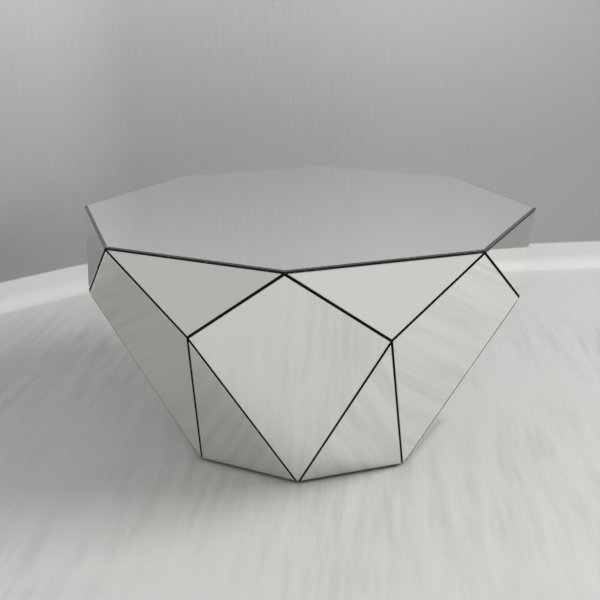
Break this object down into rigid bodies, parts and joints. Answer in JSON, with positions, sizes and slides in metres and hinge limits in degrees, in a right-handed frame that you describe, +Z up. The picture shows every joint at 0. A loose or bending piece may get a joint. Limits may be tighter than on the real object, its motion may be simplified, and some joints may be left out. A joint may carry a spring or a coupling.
{
  "type": "coffee table",
  "caption": "Low octagonal coffee table with a flat mirrored top and faceted mirrored sides that narrow to the foot.",
  "frame": {"origin": "on the floor under the middle of the top", "axes": "+Z up; -Y towards the corner of the top above kite mirror 1, and the numbers run anticlockwise seen from above"},
  "size_m": [0.9, 0.9, 0.465],
  "materials": {
    "mirror_glass": "polished",
    "black_board": "satin",
    "raw_board": "matte",
    "pine": "matte",
    "zinc_steel": "satin",
    "adhesive": "matte",
    "felt": "matte"
  },
  "bodies": {
    "root": {"top_mirror": "mirror_glass", "top_adhesive": "adhesive", "top_board": "black_board", "upper_mirror_1": "mirror_glass", "upper_mirror_2": "mirror_glass", "upper_mirror_3": "mirror_glass", "upper_mirror_4": "mirror_glass", "upper_mirror_5": "mirror_glass", "upper_mirror_6": "mirror_glass", "upper_mirror_7": "mirror_glass", "upper_mirror_8": "mirror_glass", "kite_mirror_1": "mirror_glass", "kite_mirror_2": "mirror_glass", "kite_mirror_3": "mirror_glass", "kite_mirror_4": "mirror_glass", "kite_mirror_5": "mirror_glass", "kite_mirror_6": "mirror_glass", "kite_mirror_7": "mirror_glass", "kite_mirror_8": "mirror_glass", "lower_mirror_1": "mirror_glass", "lower_mirror_2": "mirror_glass", "lower_mirror_3": "mirror_glass", "lower_mirror_4": "mirror_glass", "lower_mirror_5": "mirror_glass", "lower_mirror_6": "mirror_glass", "lower_mirror_7": "mirror_glass", "lower_mirror_8": "mirror_glass", "side_adhesive": "adhesive", "upper_board_1": "black_board", "upper_board_2": "black_board", "upper_board_3": "black_board", "upper_board_4": "black_board", "upper_board_5": "black_board", "upper_board_6": "black_board", "upper_board_7": "black_board", "upper_board_8": "black_board", "kite_board_1": "black_board", "kite_board_2": "black_board", "kite_board_3": "black_board", "kite_board_4": "black_board", "kite_board_5": "black_board", "kite_board_6": "black_board", "kite_board_7": "black_board", "kite_board_8": "black_board", "lower_board_1": "black_board", "lower_board_2": "black_board", "lower_board_3": "black_board", "lower_board_4": "black_board", "lower_board_5": "black_board", "lower_board_6": "black_board", "lower_board_7": "black_board", "lower_board_8": "black_board", "rib_lengthwise": "raw_board", "rib_crosswise": "raw_board", "top_cleats": "pine", "base_cleats": "pine", "cleat_screws": "zinc_steel", "base_board": "black_board", "glides": "felt"}
  },
  "joints": []
}
